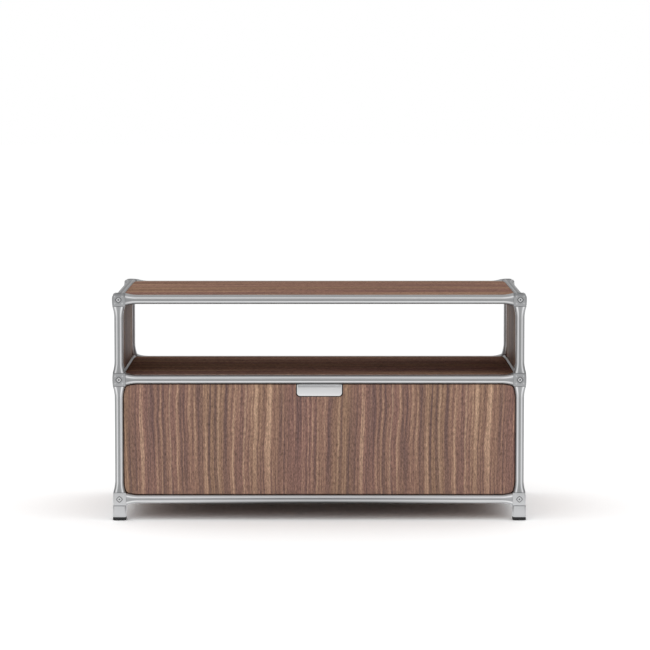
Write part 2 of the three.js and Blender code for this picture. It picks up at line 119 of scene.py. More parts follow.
# %% A socket that can be used in a sum
class Wire:
    """A value in a node tree: arithmetic on it adds Math nodes."""

    def __init__(self, tree, socket):
        self.tree = tree
        self.socket = socket

    def math(self, operation, *values):
        return self.tree.node("ShaderNodeMath", {"operation": operation}, dict(enumerate(values)))

    def __add__(self, other):
        return self.math("ADD", self, other)

    def __sub__(self, other):
        return self.math("SUBTRACT", self, other)

    def __rsub__(self, other):
        return self.math("SUBTRACT", other, self)

    def __mul__(self, other):
        return self.math("MULTIPLY", self, other)

    def __truediv__(self, other):
        return self.math("DIVIDE", self, other)

    def __rtruediv__(self, other):
        return self.math("DIVIDE", other, self)

    def __pow__(self, other):
        return self.math("POWER", self, other)

    def clamped(self):
        return self.tree.node("ShaderNodeMath", {"operation": "ADD", "use_clamp": True}, {0: self, 1: 0})

    __radd__ = __add__
    __rmul__ = __mul__


# %% A tree that adds any node in one call
class Tree:
    """Adds nodes to a node tree: settings first, then the values or links of the sockets."""

    def __init__(self, tree):
        self.tree = tree

    def node(self, kind, settings=None, sockets=None, output=0):
        node = self.tree.nodes.new(kind)
        for key, value in (settings or {}).items():
            setattr(node, key, value)
        for key, value in (sockets or {}).items():
            if isinstance(value, Wire):
                self.tree.links.new(value.socket, node.inputs[key])
            else:
                node.inputs[key].default_value = value
        return Wire(self, node.outputs[output]) if node.outputs else node

    def mix(self, factor, first, second):
        return self.node("ShaderNodeMix", {"data_type": "RGBA"}, {0: factor, 6: first, 7: second}, output=2)

    def vector(self, operation, *values, output=0):
        return self.node("ShaderNodeVectorMath", {"operation": operation}, dict(enumerate(values)), output)

    def scaled(self, vector, factor):
        return self.node("ShaderNodeVectorMath", {"operation": "SCALE"}, {0: vector, "Scale": factor})


# %% Colours as they are seen
def seen(red, green, blue):
    """A colour given as a screen shows it, from 0 to 255, for a colour socket."""
    shares = [value / 255 for value in (red, green, blue)]
    return [((s + 0.055) / 1.055) ** 2.4 if s > 0.04045 else s / 12.92 for s in shares] + [1]


print("mid grey as a light value:", round(seen(128, 128, 128)[0], 3))

# %% [markdown]
# ## The finishes' base
# Each finish is one material with a Principled shader. What varies over a surface goes into its colour,
# roughness and bump, and what is the same everywhere is set on the shader's own sockets.


# %% A material with a Principled shader
def finish_tree(name):
    material = bpy.data.materials.new(name)
    material.use_nodes = True
    material.node_tree.nodes.clear()
    return material, Tree(material.node_tree)


def close_finish(tree, sockets):
    """Ends a material in a Principled shader with these values and links."""
    shader = tree.node("ShaderNodeBsdfPrincipled", {}, sockets)
    tree.node("ShaderNodeOutputMaterial", {}, {"Surface": shader})


def object_place(tree):
    return tree.node("ShaderNodeTexCoord", output=3)


def bump(tree, height, distance):
    return tree.node("ShaderNodeBump", {}, {"Height": height, "Distance": distance, "Strength": 1.0})


def noise(tree, place, scale, detail=2.0, roughness=0.5):
    sockets = {"Vector": place, "Scale": scale, "Detail": detail, "Roughness": roughness}
    return tree.node("ShaderNodeTexNoise", {}, sockets)


# %% [markdown]
# ## Cast aluminium
# The rods and connectors are die-cast and tumbled, so the ridges are a little smoother than the flat skin. A
# brushed look would need lines, and polished metal no grain at all. Here a metallic shader mixes the skin's
# tones with a painted highlight on the ridges and painted shade in the hollows, by attributes that the pieces
# store, and two noises give the grain of the casting.

# %% Cast aluminium
grain_scale, wave_scale, grain_relief = 1400, 45, 0.00004
dull_skin, bright_skin = seen(168, 169, 170), seen(186, 187, 189)
# The colours of the painted highlight on ridges and of the painted shade in hollows.
sheen_colour, dusty_hollow = seen(248, 248, 249), seen(86, 87, 88)
aluminium, tree = finish_tree("cast_aluminium")
place = object_place(tree)
skin = noise(tree, place, grain_scale, detail=3)
waves = noise(tree, place, wave_scale)
# Painted highlight and painted shade, as stored on each piece's points.
painted_sheen = tree.node("ShaderNodeAttribute", {"attribute_name": "painted_sheen"}, output="Fac")
hollow = tree.node("ShaderNodeAttribute", {"attribute_name": "hollow"}, output="Fac")
tone = tree.mix(waves * 0.7 + skin * 0.3, dull_skin, bright_skin)
close_finish(
    tree,
    {
        "Base Color": tree.mix(hollow * 0.75, tree.mix(painted_sheen, tone, sheen_colour), dusty_hollow),
        "Metallic": 1.0,
        "Roughness": 0.38 + waves * 0.06 + skin * 0.06 - painted_sheen * 0.12,
        "Normal": bump(tree, skin + waves * 2, grain_relief),
    },
)
print("finish:", aluminium.name)

# %% [markdown]
# ## Walnut veneer
# Walnut has pale streaks and darker purple-grey bands along the grain, fine fibres and short dark pores.
# Veneer leaves are cut one after another from a log, so a wide panel repeats its figure every half metre.
# Noises stretched along the grain give all four, and wrapping the coordinate across it gives the leaves.

# %% Walnut with its grain along any direction
leaf_width, slow_sway, quick_sway, fibre_relief = 0.5, 0.03, 0.007, 0.00006
rosy, tan, pale_sap = seen(150, 113, 101), seen(150, 118, 97), seen(206, 170, 142)
violet, pore_brown = seen(96, 75, 76), seen(66, 50, 46)


def walnut_finish(name, along, across, shift, shine, light):
    """Walnut whose grain runs along one coordinate (0, 1 or 2) and whose leaves lie side by side on another."""
    material, tree = finish_tree(name)
    place = object_place(tree)
    split = [tree.node("ShaderNodeSeparateXYZ", {}, {0: place}, output=i) for i in range(3)]
    length, width = split[along], split[across]
    leaf = width.math("WRAP", width + shift, leaf_width / 2, -leaf_width / 2)
    slow, quick = noise(tree, place, 3.2, detail=1), noise(tree, place, 13, detail=1)
    sway = (slow - 0.5) * slow_sway + (quick - 0.5) * quick_sway

    def grain(crosswise, lengthwise, seed, detail=2.0, roughness=0.5):
        """Noise with this many features to a metre across the grain and along it."""
        parts = {0: (leaf + sway) * crosswise, 1: length * lengthwise, 2: shift + seed}
        return noise(tree, tree.node("ShaderNodeCombineXYZ", {}, parts), 1.0, detail, roughness)

    bands, figure = grain(14, 0.6, 0), grain(64, 0.8, 3, detail=5, roughness=0.75)
    fine = grain(210, 2.5, 6, detail=3, roughness=0.6)
    streaks = ((grain(105, 0.7, 9) - 0.6) * 12).clamped()
    mottle, fibres = grain(300, 90, 12), grain(700, 150, 15)
    pores = ((grain(1500, 24, 18, detail=1) - 0.6) * 9).clamped()
    depth = (0.46 + (figure - 0.5) * 2 + (fine - 0.5) * 1.3).clamped()
    heart = tree.mix(((bands - 0.5) * 4 + 0.5).clamped(), rosy, tan)
    darker = tree.mix((1 - depth * 2).clamped(), heart, violet)
    lighter = tree.mix((depth * 2 - 1).clamped(), darker, pale_sap)
    streaked = tree.mix(streaks * 0.5, lighter, pale_sap)
    # The light argument is painted light over the whole panel. Mottle and fibres vary it along the grain.
    grain_and_painted_light = light + (mottle - 0.5) * 1.1 + (fibres - 0.5) * 1.7
    close_finish(
        tree,
        {
            "Base Color": tree.mix(pores * 0.5, tree.scaled(streaked, grain_and_painted_light), pore_brown),
            "Roughness": 0.56 + (fibres - 0.5) * 0.2,
            "Specular IOR Level": shine,
            "Normal": bump(tree, fibres - pores * 0.8, fibre_relief),
        },
    )
    return material


# Painted light on the flap and back (1.06), painted shade on the level panels (0.85).
walnut_front = walnut_finish("walnut_upright", along=2, across=0, shift=0.06, shine=0.25, light=1.06)
walnut_flat = walnut_finish("walnut_level", along=0, across=1, shift=0.11, shine=0, light=0.85)
walnut_side = walnut_finish("walnut_side", along=2, across=1, shift=0.19, shine=0.25, light=1)
print("finishes:", walnut_front.name, walnut_flat.name, walnut_side.name)

# %% [markdown]
# ## Rubber, zinc-plated steel and the catch's plastic
# The small parts are seen when the flap is open. Rubber is dull with a fine pebble, zinc plating has a cool
# gloss with faint rolling marks, and the catch is a dark moulding.

# %% The finishes of the small parts
def moulded(name, scale, dark, light, roughness, spread, relief):
    """A dull moulding with a fine even pebble."""
    material, tree = finish_tree(name)
    pebble = noise(tree, object_place(tree), scale)
    close_finish(
        tree,
        {
            "Base Color": tree.mix(pebble, dark, light),
            "Roughness": roughness + pebble * spread,
            "Normal": bump(tree, pebble, relief),
        },
    )
    return material


rubber = moulded("pad_rubber", 900, seen(26, 26, 27), seen(40, 40, 41), 0.6, 0.2, 0.00012)
plastic = moulded("catch_moulding", 1100, seen(52, 49, 47), seen(64, 61, 59), 0.45, 0.15, 0.00005)

rolling, cloud_scale, rolling_relief = (900, 900, 40), 60, 0.00002
steel, tree = finish_tree("zinc_plated_steel")
place = object_place(tree)
marks, cloud = noise(tree, tree.vector("MULTIPLY", place, rolling), 1.0), noise(tree, place, cloud_scale)
close_finish(
    tree,
    {
        "Base Color": tree.mix(cloud, seen(178, 182, 188), seen(206, 209, 213)),
        "Metallic": 1.0,
        "Roughness": 0.24 + marks * 0.12 + cloud * 0.1,
        "Normal": bump(tree, marks, rolling_relief),
    },
)
print("finishes:", rubber.name, steel.name, plastic.name)

# %% [markdown]
# ## Making a piece
# Every finer piece goes through the same three steps: a mesh in place, with smooth faces and sharp edges
# where the surface turns quickly, then its finish, then the CAD nodes and the body that it stands for.

# %% Mesh to piece
crease = math.radians(38)


def mesh_from(name, vertices, faces):
    """A closed mesh whose faces point outwards."""
    mesh = bpy.data.meshes.new(name)
    mesh.from_pydata([tuple(v) for v in vertices], [], faces)
    work = bmesh.new()
    work.from_mesh(mesh)
    bmesh.ops.remove_doubles(work, verts=work.verts, dist=1e-7)
    bmesh.ops.recalc_face_normals(work, faces=work.faces)
    work.to_mesh(mesh)
    work.free()
    return mesh


def store(mesh, name, values):
    """Keeps a number or a vector for each point of a mesh, for the node trees to read."""
    values = np.array(values, np.float32)
    kind, field = ("FLOAT", "value") if values.ndim == 1 else ("FLOAT_VECTOR", "vector")
    mesh.attributes.new(name, kind, "POINT").data.foreach_set(field, values.ravel())


def smooth(mesh):
    mesh.polygons.foreach_set("use_smooth", [True] * len(mesh.polygons))
    mesh.set_sharp_from_angle(angle=crease)
    return mesh


def shown(name, mesh, material=None):
    piece = bpy.data.objects.new(name, mesh)
    bpy.context.scene.collection.objects.link(piece)
    if material:
        mesh.materials.clear()
        mesh.materials.append(material)
    return piece


def applied(piece):
    """The mesh that a piece's modifiers make. The piece itself is removed."""
    bpy.context.view_layer.update()
    evaluated = piece.evaluated_get(bpy.context.evaluated_depsgraph_get())
    mesh = bpy.data.meshes.new_from_object(evaluated)
    bpy.data.objects.remove(piece)
    return mesh


def settle(piece, slot, body, *nodes):
    """Says what the piece rides on and which CAD nodes it stands for. The slot is not used."""
    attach(piece, body)
    if nodes:
        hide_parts(*nodes)


def dress(node, mesh, slot, material=None, body="frame", name=None):
    """Shows a finer mesh in place of a CAD node."""
    settle(shown(f"fine_{name or node}", smooth(mesh), material), slot, body, node)


# %% Rings joined into a closed body
def loft(rings, looped=False):
    """Vertices and faces of a body through rings of equal length: end faces close it, or it loops to its start."""
    count, vertices = len(rings[0]), [point for ring in rings for point in ring]
    total = len(vertices)
    faces = []
    for start in range(0, total if looped else total - count, count):
        above = (start + count) % total
        for i in range(count):
            following = (i + 1) % count
            faces.append((start + i, start + following, above + following, above + i))
    if not looped:
        faces += [tuple(reversed(range(count))), tuple(range(total - count, total))]
    return vertices, faces


def turned(profile, steps=20, centre=(0, 0)):
    """Vertices and faces of a body turned round an upright axis, from radii and heights."""
    turns = [2 * math.pi * i / steps for i in range(steps)]
    x, y = centre
    return loft([[(x + radius * math.cos(a), y + radius * math.sin(a), w) for a in turns] for radius, w in profile])


def inset(outline, distance):
    """An outline moved inwards by a small distance along its corners' bisectors."""
    points = np.array(outline, float)
    before, after = np.roll(points, 1, 0), np.roll(points, -1, 0)

    def inward(edge):
        edge = edge / np.maximum(np.linalg.norm(edge, axis=1, keepdims=True), 1e-12)
        return np.column_stack([-edge[:, 1], edge[:, 0]])

    first, second = inward(points - before), inward(after - points)
    bisector = first + second
    scale = 2 / np.maximum(np.sum(bisector**2, axis=1, keepdims=True), 0.5)
    return points + bisector * scale * distance


def to_axis(axis, u, v, w):
    return {"x": (w, u, v), "y": (u, w, v), "z": (u, v, w)}[axis]


def board(name, outline, axis, low, high, edge, steps=2):
    """A board with rounded edges: the outline pushed along an axis. The outline runs counter-clockwise."""
    turns = [math.pi / 2 * i / steps for i in range(steps + 1)]
    arc = [(edge * (1 - math.sin(a)), edge * (1 - math.cos(a))) for a in turns]
    rows = [(distance, low + rise) for distance, rise in arc]
    rows += [(distance, high - rise) for distance, rise in reversed(arc)]
    rings = [[to_axis(axis, u, v, w) for u, v in inset(outline, distance)] for distance, w in rows]
    return mesh_from(name, *loft(rings))


def rounded_rectangle(left, bottom, right, top, radii, steps=8):
    """A counter-clockwise rectangle with a radius at each corner, from the lower left one on."""
    corners = [(left, bottom, 1, 1), (right, bottom, -1, 1), (right, top, -1, -1), (left, top, 1, -1)]
    points = []
    for index, ((x, y, to_x, to_y), radius) in enumerate(zip(corners, radii)):
        middle_x, middle_y = x + to_x * radius, y + to_y * radius
        for i in range(steps + 1 if radius > 0 else 1):
            angle = math.pi + (index + i / steps) * math.pi / 2
            points.append((middle_x + radius * math.cos(angle), middle_y + radius * math.sin(angle)))
    return points


print("a square corner keeps its points:", len(rounded_rectangle(0, 0, 1, 1, [0.1, 0.1, 0, 0])))

# %% [markdown]
# ## Rods
# A rod has four rounded ridges with a hollow flute between each pair, and swells towards its ends to meet a
# cube. Every rod obeys the same rule and only its bay differs, so Geometry Nodes suit it: the script draws
# the ring of one section, stores on each point what grows with the width and what with the flute's depth,
# and the tree works out where the point lies from named sizes.

# %% The ring of a section
lobe_radius, lobe_steps, flute_steps, flare_stations = 0.0066, 12, 10, 9
# How sharply the painted highlight gathers on the crests, and how dark the painted shade in a flute's middle is.
ridge_edge, flute_shade = 4, 0.22


def section_ring():
    """For each point: the shares of width, rounding and flute in its place, its painted highlight and its painted
    shade.
    """
    width, rounding, flute, painted_sheen, hollow = [], [], [], [], []
    for quarter in range(4):
        turn = Matrix.Rotation(quarter * math.pi / 2, 3, "Z")
        for i in range(flute_steps):
            q = 2 * i / flute_steps - 1
            width.append(turn @ Vector((1, q, 0)))
            rounding.append(turn @ Vector((0, -q * lobe_radius, 0)))
            flute.append(turn @ Vector((q * q - 1, 0, 0)))
            painted_sheen.append(abs(q) ** ridge_edge)
            hollow.append((1 - q * q) * flute_shade)
        for i in range(lobe_steps):
            angle = math.pi / 2 * i / lobe_steps
            width.append(turn @ Vector((1, 1, 0)))
            rounding.append(turn @ Vector((math.cos(angle) - 1, math.sin(angle) - 1, 0)) * lobe_radius)
            flute.append(Vector())
            painted_sheen.append(abs(math.cos(2 * angle)) ** ridge_edge)
            hollow.append(0)
    return width, rounding, flute, painted_sheen, hollow


def rod_skin():
    """A plain tube whose points carry the section's values, their station on the flare and their end."""
    width, rounding, flute, painted_sheen, hollow = section_ring()
    stations = [i / (flare_stations - 1) for i in range(flare_stations)]
    rows = [(s, -1) for s in stations] + [(s, 1) for s in reversed(stations)]
    rings = [[(*(w * rod_half + r).xy, end * (1 + s)) for w, r in zip(width, rounding)] for s, end in rows]
    vertices, faces = loft(rings)
    mesh = bpy.data.meshes.new("rod_skin")
    mesh.from_pydata(vertices, [], faces)
    section = {"width": width, "rounding": rounding, "flute": flute, "painted_sheen": painted_sheen, "hollow": hollow}
    for name, values in section.items():
        store(mesh, name, values * len(rows))
    store(mesh, "station", [s for s, _ in rows for _ in width])
    store(mesh, "end", [end for _, end in rows for _ in width])
    return mesh


# %% The rod's rule as Geometry Nodes
def new_rule(name, inputs):
    """A Geometry Nodes tree with named inputs, and a Wire for each."""
    group = bpy.data.node_groups.new(name, "GeometryNodeTree")
    group.interface.new_socket("Geometry", in_out="INPUT", socket_type="NodeSocketGeometry")
    group.interface.new_socket("Geometry", in_out="OUTPUT", socket_type="NodeSocketGeometry")
    for label, kind in inputs.items():
        group.interface.new_socket(label, in_out="INPUT", socket_type=kind)
    tree = Tree(group)
    entry = group.nodes.new("NodeGroupInput")
    return group, tree, [Wire(tree, socket) for socket in entry.outputs[:-1]]


def close_rule(tree, geometry, finish):
    """Ends a rule: instances become real faces, and they get their finish."""
    real = tree.node("GeometryNodeRealizeInstances", {}, {0: geometry})
    finished = tree.node("GeometryNodeSetMaterial", {}, {"Geometry": real, "Material": finish})
    tree.node("NodeGroupOutput", {}, {0: finished})


def apply_rule(mesh, group, values, name):
    """The mesh that a rule makes, with its inputs set by their identifiers before it is evaluated."""
    carrier = shown(name, mesh)
    modifier = carrier.modifiers.new(name, "NODES")
    modifier.node_group = group
    for item in group.interface.items_tree:
        if item.in_out == "INPUT" and item.name in values:
            modifier[item.identifier] = values[item.name]
    return applied(carrier)


SIZE = "NodeSocketFloat"
rod_labels = ("Bay", "Half width", "Flare radius", "Flare reach", "Seat", "Flute depth", "Flare flute depth")
rod_inputs = {**dict.fromkeys(rod_labels, SIZE), "Finish": "NodeSocketMaterial"}
rod_rule, tree, wires = new_rule("rod_rule", rod_inputs)
skin_in, bay, half_rod, radius, reach, seat, flute_deep, flute_shallow, finish_in = wires


def stored(tree, name, kind="FLOAT"):
    return tree.node("GeometryNodeInputNamedAttribute", {"data_type": kind}, {"Name": name})


station, end_sign = stored(tree, "station"), stored(tree, "end")
from_flare_start = (1 - station) * reach
half_here = half_rod + radius - (radius * radius - from_flare_start * from_flare_start) ** 0.5
flute_here = flute_shallow + (flute_deep - flute_shallow) * station
lengthwise = end_sign * (bay / 2 - seat - station * reach)
broad = tree.scaled(stored(tree, "width", "FLOAT_VECTOR"), half_here)
fluted = tree.vector("ADD", broad, tree.scaled(stored(tree, "flute", "FLOAT_VECTOR"), flute_here))
across = tree.vector("ADD", fluted, stored(tree, "rounding", "FLOAT_VECTOR"))
place = tree.vector("ADD", across, tree.node("ShaderNodeCombineXYZ", {}, {2: lengthwise}))
moved = tree.node("GeometryNodeSetPosition", {}, {"Geometry": skin_in, "Position": place})
close_rule(tree, moved, finish_in)
print("rod rule:", len(rod_rule.nodes), "nodes")

skin_mesh = rod_skin()
swell = 0.0042
rod_sizes = {
    "Half width": rod_half,
    "Flare radius": arc_radius(flare_length, swell),
    "Flare reach": flare_length - clearance,
    "Seat": seat_reach + clearance,
    "Flute depth": 0.0017,
    "Flare flute depth": 0.0008,
    "Finish": aluminium,
}
rod_meshes = {}
for bay_length in (bay_width, bay_depth, lower_bay, upper_bay):
    rod = apply_rule(skin_mesh.copy(), rod_rule, {**rod_sizes, "Bay": bay_length}, "rod_of_bay")
    for name in ("width", "rounding", "flute", "station", "end"):
        rod.attributes.remove(rod.attributes[name])
    rod_meshes[bay_length] = rod
print("faces of a rod:", len(rod.polygons))

# %% Painted sheen and shade, and places of the rods
# How strong the painted highlight on a level rod's upper ridges and the painted shade on its underside are.
upper_sheen, under_shade = 0.5, 0.5


def paint_rod_sheen_and_shade(mesh, axis_height, shade_share):
    """A level rod's painted highlight on its upper ridges and painted shade on its underside."""
    tones = zip(mesh.vertices, mesh.attributes["painted_sheen"].data, mesh.attributes["hollow"].data)
    for vertex, painted_sheen, hollow in tones:
        up = (vertex.co.z - axis_height) / rod_half
        painted_sheen.value = max(painted_sheen.value, min(max(2 * up - 1, 0), 1) * upper_sheen)
        hollow.value = max(hollow.value, min(max(-2 * up - 1, 0), 1) * under_shade) * shade_share


def place_rod(node, bay_length, middle, turn):
    """The rod of a bay in its place. The lowest rods get no painted shade, since the floor's light keeps their
    flutes and underside from looking dark.
    """
    mesh = rod_meshes[bay_length].copy()
    mesh.transform(Matrix.Translation(middle) @ turn)
    if node.startswith("rod"):
        paint_rod_sheen_and_shade(mesh, middle[2], 0 if node.startswith("rod_bottom") else 1)
    dress(node, mesh, "frame_aluminium")


upright = Matrix.Identity(4)
along_x, along_y = Matrix.Rotation(math.pi / 2, 4, "Y"), Matrix.Rotation(math.pi / 2, 4, "X")
for level, z in levels.items():
    for end, sign in ends.items():
        place_rod(f"rod_{level}_{end}", bay_width, (0, sign * half_depth, z), along_x)
    for side, sign in sides.items():
        place_rod(f"rod_{level}_{side}", bay_depth, (sign * half_width, 0, z), along_y)
for tier, (height, middle) in tiers.items():
    for corner, (x, y) in kit_corners.items():
        place_rod(f"post_{tier}_{corner}", height, (x, y, middle), upright)

# %% [markdown]
# ## Cube connectors
# A connector has a flat seat wherever a rod or foot joins it, and a rounded cap wherever nothing does. A
# bevelled box would get every edge the same, but here each edge has a radius of its own. So the surface is
# found from the inside: from the middle of the cube, a ray in every direction stops where the first of three
# rounded outlines (from above, the front and the side) ends. A little smoothing melts the creases, as
# casting does, and the marks of the free faces are cut in with a boolean.

# %% The surface of a connector
plan_round, crown_round, rod_seat_round, post_seat_round = 0.0055, 0.0115, 0.0003, 0.0018
free_dome, face_steps, halvings, melt_rounds, melt_share = 0.0009, 26, 40, 3, 0.5


def cube_directions():
    """Directions on a cube's faces, closer together near its edges."""
    spread = np.sin(np.linspace(-1, 1, face_steps + 1) * math.pi / 2)
    u, v = (grid.ravel() for grid in np.meshgrid(spread, spread, indexing="ij"))
    one = np.ones_like(u)
    directions, faces = [], []
    for axis in range(3):
        for sign in (-1, 1):
            columns = [None] * 3
            columns[axis], columns[(axis + 1) % 3], columns[(axis + 2) % 3] = sign * one, u, v
            start = len(directions) * len(u)
            directions.append(np.column_stack(columns))
            for i in range(face_steps):
                for j in range(face_steps):
                    a = start + i * (face_steps + 1) + j
                    faces.append((a, a + 1, a + face_steps + 2, a + face_steps + 1))
    return np.vstack(directions), faces


def outline_distance(x, y, reach_x, reach_y, free_x, free_y, free_radius, seat_radius=post_seat_round):
    """How far points lie outside a rectangle whose free corner is rounded more than the others."""
    half_x, half_y = np.where(x < 0, *reach_x), np.where(y < 0, *reach_y)
    free = (np.sign(x) == free_x) & (np.sign(y) == free_y)
    radius = np.where(free, free_radius, seat_radius)
    past_x, past_y = np.abs(x) - half_x + radius, np.abs(y) - half_y + radius
    outside = np.hypot(np.maximum(past_x, 0), np.maximum(past_y, 0))
    return outside + np.minimum(np.maximum(past_x, past_y), 0) - radius


def connector_surface(top_is_free):
    """The front left connector: free on the left and in front, and at the top level also above."""
    directions, faces = cube_directions()
    near, far = np.full(len(directions), cap_reach / 2), np.full(len(directions), seat_reach * 1.2)
    reach_side, reach_up = (cap_reach, seat_reach), (seat_reach, cap_reach if top_is_free else seat_reach)
    free_up = 1 if top_is_free else 2
    for _ in range(halvings):
        middle = (near + far) / 2
        x, y, z = (directions * middle[:, None]).T
        worst = np.maximum.reduce(
            [
                outline_distance(x, y, reach_side, reach_side, -1, -1, plan_round, rod_seat_round),
                outline_distance(x, z, reach_side, reach_up, -1, free_up, crown_round),
                outline_distance(y, z, reach_side, reach_up, -1, free_up, crown_round),
            ]
        )
        inside = worst < 0
        near, far = np.where(inside, middle, near), np.where(inside, far, middle)
    points = directions * near[:, None] / cap_reach
    square = (points**2).sum(axis=1)
    drop = np.zeros_like(points)
    for axis, sign in ((0, -1), (1, -1)) + (((2, 1),) if top_is_free else ()):
        out = np.clip(points[:, axis] * sign, 0, 1)
        drop[:, axis] += sign * free_dome * out**3 * (square - out**2)
    return mesh_from("connector", points * cap_reach - drop, faces)


def melt(mesh):
    """Moves each point towards its neighbours, which rounds the creases and leaves flat parts flat."""
    work = bmesh.new()
    work.from_mesh(mesh)
    all_ways = {"use_axis_x": True, "use_axis_y": True, "use_axis_z": True}
    for _ in range(melt_rounds):
        bmesh.ops.smooth_vert(work, verts=work.verts, factor=melt_share, **all_ways)
    work.to_mesh(mesh)
    work.free()


# %% The marks of a free face
boss_half, boss_bulge, boss_steps, groove_width, groove_depth = 0.0053, 1.25, 40, 0.0026, 0.0014
bolt_radius, bolt_depth = 0.0019, 0.006
dimple_radius, dimple_floor, dimple_depth, dimple_place = 0.0017, 0.45, 0.001, 0.0082
# The last line: the painted highlight on the boss and dimples, and over the bottom connectors.
boss_sheen, bottom_sheen, mark_slack, skin_depth = 0.45, 0.35, 1.02, 0.0002


def boss_outline(half):
    """A diamond with slightly rounded sides."""
    points = []
    for i in range(boss_steps):
        angle = 2 * math.pi * i / boss_steps
        spread = abs(math.cos(angle)) ** boss_bulge + abs(math.sin(angle)) ** boss_bulge
        diamond = 1 / spread ** (1 / boss_bulge)
        points.append((half * diamond * math.cos(angle), half * diamond * math.sin(angle)))
    return points


def join_parts(parts):
    """One list of vertices and faces from several."""
    vertices, faces = [], []
    for part_vertices, part_faces in parts:
        faces += [tuple(index + len(vertices) for index in face) for face in part_faces]
        vertices += part_vertices
    return vertices, faces


def face_marks(direction):
    """The groove round the boss, the bolt hole and four dimples, on the face in this direction."""
    out, floor = cap_reach + 0.001, cap_reach - groove_depth
    outer, inner = boss_outline(boss_half + groove_width), boss_outline(boss_half)
    groove = [[(*p, w) for p in line] for line, w in ((outer, floor), (outer, out), (inner, out), (inner, floor))]
    parts = [loft(groove, looped=True), turned([(bolt_radius, cap_reach - bolt_depth), (bolt_radius, out)])]
    bottom = (dimple_radius * dimple_floor, cap_reach - dimple_depth)
    dimple = [bottom, (dimple_radius, cap_reach), (dimple_radius, out)]
    for x in (-dimple_place, dimple_place):
        for y in (-dimple_place, dimple_place):
            parts.append(turned(dimple, 12, (x, y)))
    vertices, faces = join_parts(parts)
    turn = Vector(direction).to_track_quat("Z", "Y").to_matrix()
    return [turn @ Vector(v) for v in vertices], faces


def cut(mesh, cutter, name):
    """A mesh less another, by an exact boolean."""
    piece, tool = shown(name, mesh), shown(f"{name}_cutter", cutter)
    modifier = piece.modifiers.new("cut", "BOOLEAN")
    modifier.operation, modifier.solver, modifier.object = "DIFFERENCE", "EXACT", tool
    result = applied(piece)
    bpy.data.objects.remove(tool)
    return result


def tone_marks(mesh, surface, directions):
    """Stores painted shade on the points sunk into a mark, and a painted highlight on the boss and dimples."""
    skin = BVHTree.FromPolygons([v.co for v in surface.vertices], [tuple(p.vertices) for p in surface.polygons])
    hollow, painted_sheen = [], []
    for vertex in mesh.vertices:
        depth = skin.find_nearest(vertex.co)[3]
        bright = 0
        for direction in directions:
            out = vertex.co.dot(Vector(direction))
            u, v = [abs(value) for value, way in zip(vertex.co, direction) if way == 0]
            in_boss = u**boss_bulge + v**boss_bulge < (boss_half * mark_slack) ** boss_bulge
            in_dimple = math.hypot(u - dimple_place, v - dimple_place) < dimple_radius * mark_slack
            on_boss = in_boss and out > cap_reach - skin_depth
            bright = max(bright, on_boss or (in_dimple and out > cap_reach / 2))
        painted_sheen.append(boss_sheen * bright)
        hollow.append(min(depth / groove_depth, 1) if depth > skin_depth / 2 and not bright else 0)
    store(mesh, "hollow", hollow)
    store(mesh, "painted_sheen", painted_sheen)


# %% The twelve connectors
connector_meshes = {}
for top_is_free in (False, True):
    surface = connector_surface(top_is_free)
    melt(surface)
    free_faces = [(-1, 0, 0), (0, -1, 0)] + ([(0, 0, 1)] if top_is_free else [])
    cutter = mesh_from("marks", *join_parts([face_marks(direction) for direction in free_faces]))
    connector_meshes[top_is_free] = cut(surface, cutter, "connector_shape")
    tone_marks(connector_meshes[top_is_free], surface, free_faces)


def mirrored(mesh, flip_x, flip_y):
    """A copy mirrored in X or Y, its faces turned to point outwards again."""
    copy = mesh.copy()
    copy.transform(Matrix.Diagonal((-1 if flip_x else 1, -1 if flip_y else 1, 1, 1)))
    if flip_x != flip_y:
        copy.flip_normals()
    return copy


for level, z in levels.items():
    for corner, (x, y) in kit_corners.items():
        mesh = mirrored(connector_meshes[level == "top"], x > 0, y > 0)
        # The bottom connectors get a painted highlight all over.
        if level == "bottom":
            for point in mesh.attributes["painted_sheen"].data:
                point.value = max(point.value, bottom_sheen)
        mesh.transform(Matrix.Translation((x, y, z)))
        dress(f"connector_{level}_{corner}", mesh, "frame_aluminium", aluminium)
print("connector faces:", {free: len(mesh.polygons) for free, mesh in connector_meshes.items()})

# %% [markdown]
# ## Feet and pads
# A foot is a short cast block under each lower connector, flush with its faces, and a rubber pad ends it.
# Both are a rounded square pushed upwards, with a small radius where they end. The feet and the flap's grip
# get a painted highlight that changes with height. It is stored as the ridges' painted highlight is, so a
# helper for it comes first.

# %% A painted highlight that changes with height
# The painted highlight of the feet and of the grip, at their upper and their lower edge.
foot_sheen, grip_sheen = (0.5, 0.25), (0.6, 0.8)


def paint_sheen_by_height(mesh, high_share, low_share):
    """Stores a painted highlight that changes from the metal's upper to its lower edge."""
    heights = np.array([v.co.z for v in mesh.vertices])
    share = (heights - heights.min()) / (heights.max() - heights.min())
    store(mesh, "painted_sheen", low_share + (high_share - low_share) * share)


# %% Feet and pads
pad_height, pad_round, foot_edge = 0.0075, 0.0016, 0.0004
foot_top = levels["bottom"] - seat_reach - clearance
for corner, (x, y) in kit_corners.items():
    left, right, near, far = x - cap_reach, x + cap_reach, y - cap_reach, y + cap_reach
    square = rounded_rectangle(left, near, right, far, [plan_round] * 4)
    foot = board("foot", square, "z", pad_height, foot_top, foot_edge)
    paint_sheen_by_height(foot, *foot_sheen)
    pad = board("pad", square, "z", 0, pad_height - clearance, pad_round, steps=4)
    dress(f"foot_{corner}", foot, "frame_aluminium", aluminium)
    dress(f"foot_pad_{corner}", pad, "pad_rubber", rubber, name=f"pad_{corner}")
print("feet end at", round(foot_top, 4))

# %% [markdown]
# ## Panels
# Each panel fills a bay between four rods and keeps the same narrow gap from their flared ends as from
# their straight parts. Its outline is drawn from the rod's own rule, moved outwards by the gap.

# %% The outline of a bay
arc_steps = 10


